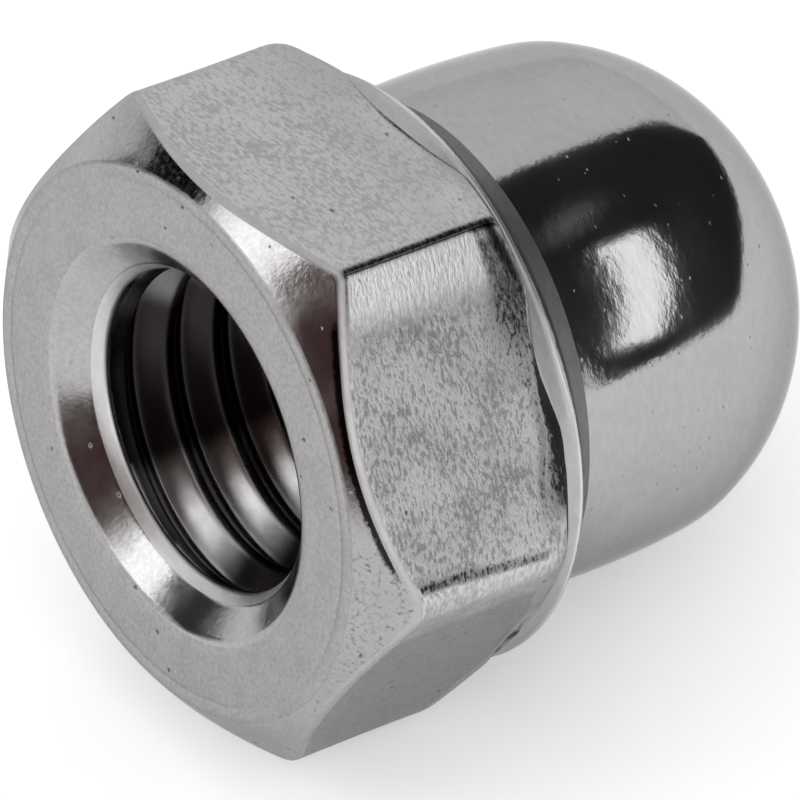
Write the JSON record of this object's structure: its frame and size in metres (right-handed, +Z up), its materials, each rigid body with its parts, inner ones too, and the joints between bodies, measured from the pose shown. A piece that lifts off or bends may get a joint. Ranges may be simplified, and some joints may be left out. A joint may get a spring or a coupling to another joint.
{
  "type": "cap nut",
  "caption": "Domed cap nut for an M8 thread: a chamfered hexagon with a blind countersunk bore, closed by a rounded dome, in plain stainless steel.",
  "frame": {"origin": "Centre of the bearing face, on the axis of the thread.", "axes": "+Z is up. +X runs along the nut from the bearing face to the dome, +Y is across two opposite corners of the hexagon. The nut lies as it comes to rest on a table, on its collar's rim and its dome, so its axis dips 11.7 degrees below +X towards the dome."},
  "size_m": [0.0161, 0.0148, 0.014],
  "materials": {
    "stainless_steel": "plain A2 stainless steel: matt pressed flats with fine pits, turned bearing face, satin-polished dome"
  },
  "bodies": {
    "root": {"cap_nut": "stainless_steel"}
  },
  "joints": []
}
